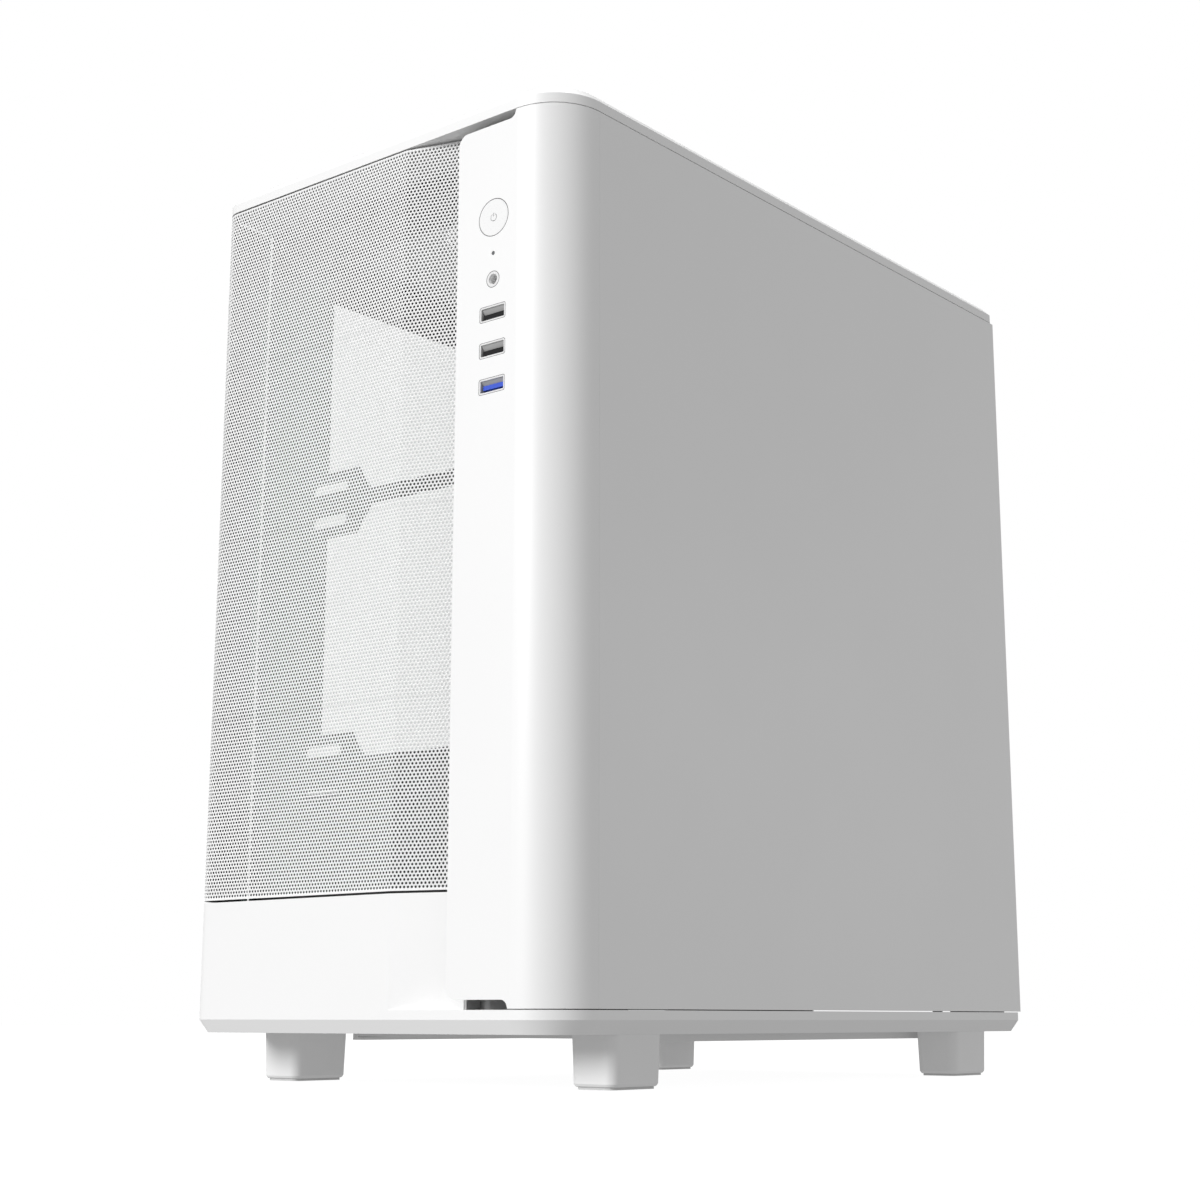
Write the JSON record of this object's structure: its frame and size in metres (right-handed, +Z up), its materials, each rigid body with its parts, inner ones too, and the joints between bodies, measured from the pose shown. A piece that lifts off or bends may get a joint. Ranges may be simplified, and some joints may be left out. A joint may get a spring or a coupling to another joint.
{
  "type": "desktop computer tower",
  "caption": "White compact computer tower with a perforated front, rounded corner cover with sockets and power button, side panels, glass side and feet.",
  "frame": {"origin": "centre of the footprint on the surface the tower stands on", "axes": "+Z up, +X to the right seen from the front, +Y from front to rear"},
  "size_m": [0.21, 0.3626, 0.4057],
  "materials": {
    "shell_white": "fine satin powder coat",
    "panel_white": "fine satin powder coat",
    "mesh_white": "satin coat on perforated sheet",
    "chassis_white": "powder coat on sheet steel",
    "clear_glass": "clear tempered glass",
    "foot_white": "smooth moulded plastic",
    "pad_rubber": "matt rubber",
    "inner_plastic": "moulded plastic",
    "inner_grey": "dark powder coat",
    "carrier_grey": "moulded plastic",
    "hook_grey": "moulded plastic",
    "filter_mesh": "fine woven filter in a moulded rim",
    "button_white": "smooth moulded plastic",
    "screw_steel": "plated steel",
    "black_plastic": "moulded plastic",
    "blue_plastic": "moulded plastic",
    "lens": "translucent plastic",
    "jack_plastic": "moulded plastic",
    "socket_steel": "nickel-plated steel",
    "circuit_board": "solder mask",
    "cable_black": "sleeved cable",
    "brass": "turned brass",
    "heatsink": "plain aluminium fins",
    "fan_frame": "moulded plastic",
    "fan_blades": "moulded plastic",
    "memory_white": "painted heat spreader",
    "psu_grey": "powder coat",
    "drive_metal": "cast and machined",
    "drive_dark": "moulded plastic"
  },
  "bodies": {
    "case": {"base_shell": "shell_white", "top_plate": "shell_white", "corner_cover": "shell_white", "chassis_front_wall": "inner_grey", "chassis_floor": "chassis_white", "chassis_roof": "chassis_white", "chassis_rear_wall": "chassis_white", "motherboard_tray": "chassis_white", "psu_shroud": "chassis_white", "slot_covers": "chassis_white", "drive_cage": "chassis_white", "io_carrier": "carrier_grey", "foot_front_left": "foot_white", "foot_front_right": "foot_white", "foot_rear_left": "foot_white", "foot_rear_right": "foot_white", "foot_pads": "pad_rubber", "foot_screws": "screw_steel", "filter_rails": "inner_plastic", "button_spring": "screw_steel", "power_switch": "black_plastic", "led_lens": "lens", "audio_jack": "jack_plastic", "usb_upper_shell": "socket_steel", "usb_middle_shell": "socket_steel", "usb_lower_shell": "socket_steel", "usb_black_tongues": "black_plastic", "usb_blue_tongue": "blue_plastic", "io_board": "circuit_board", "io_cable": "cable_black", "motherboard": "circuit_board", "board_standoffs": "brass", "rear_sockets": "socket_steel", "io_shield": "socket_steel", "cpu_heatsink": "heatsink", "cpu_fan_frame": "fan_frame", "memory_modules": "memory_white", "rear_fan_frame": "fan_frame", "slot_screws": "screw_steel", "psu_case": "psu_grey", "psu_fan_frame": "black_plastic", "psu_inlet": "black_plastic", "psu_screws": "screw_steel", "hard_drive": "drive_metal", "solid_state_drive": "drive_dark", "power_cable": "cable_black"},
    "front_panel": {"front_mesh": "mesh_white", "mesh_hooks": "hook_grey"},
    "side_panel": {"side_panel_right": "panel_white", "panel_thumbscrews": "screw_steel"},
    "glass_panel": {"glass_pane": "clear_glass", "glass_frame": "inner_grey", "glass_studs": "screw_steel"},
    "lower_filter": {"bottom_filter": "filter_mesh"},
    "upper_filter": {"top_filter": "filter_mesh"},
    "power_button": {"power_button": "button_white"},
    "cpu_fan": {"cpu_fan_rotor": "fan_blades"},
    "rear_fan": {"rear_fan_rotor": "fan_blades"},
    "psu_fan": {"psu_fan_rotor": "black_plastic"},
    "mains_rocker": {"psu_rocker": "black_plastic"}
  },
  "joints": [
    {"name": "side_panel_slide", "type": "slide", "parent": "case", "child": "side_panel", "axis": [0, 1, 0], "range_m": [0, 0.02]},
    {"name": "glass_panel_tilt", "type": "hinge", "parent": "case", "child": "glass_panel", "pos_m": [-0.105, 0, 0.0307], "axis": [0, -1, 0], "range_deg": [0, 30]},
    {"name": "front_panel_slide", "type": "slide", "parent": "case", "child": "front_panel", "axis": [-0.9563, -0.2924, 0], "range_m": [0, 0.03]},
    {"name": "power_button_press", "type": "slide", "parent": "case", "child": "power_button", "axis": [0, 1, 0], "range_m": [0, 0.0015], "stiffness_N_per_m": 800, "deforming": ["button_spring"]},
    {"name": "lower_filter_slide", "type": "slide", "parent": "case", "child": "lower_filter", "axis": [0, 1, 0], "range_m": [0, 0.15]},
    {"name": "upper_filter_lift", "type": "slide", "parent": "case", "child": "upper_filter", "axis": [0, 0, 1], "range_m": [0, 0.02]},
    {"name": "cpu_fan_spin", "type": "hinge", "parent": "case", "child": "cpu_fan", "pos_m": [-0.0071, 0.04375, 0.3203], "axis": [0, 1, 0], "continuous": true},
    {"name": "rear_fan_spin", "type": "hinge", "parent": "case", "child": "rear_fan", "pos_m": [-0.038, 0.15925, 0.3263], "axis": [0, 1, 0], "continuous": true},
    {"name": "psu_fan_spin", "type": "hinge", "parent": "case", "child": "psu_fan", "pos_m": [-0.007, 0.10225, 0.0493], "axis": [0, 0, 1], "continuous": true},
    {"name": "mains_rocker_tip", "type": "hinge", "parent": "case", "child": "mains_rocker", "pos_m": [-0.031, 0.16575, 0.0983], "axis": [1, 0, 0], "range_deg": [-18, 0]}
  ]
}
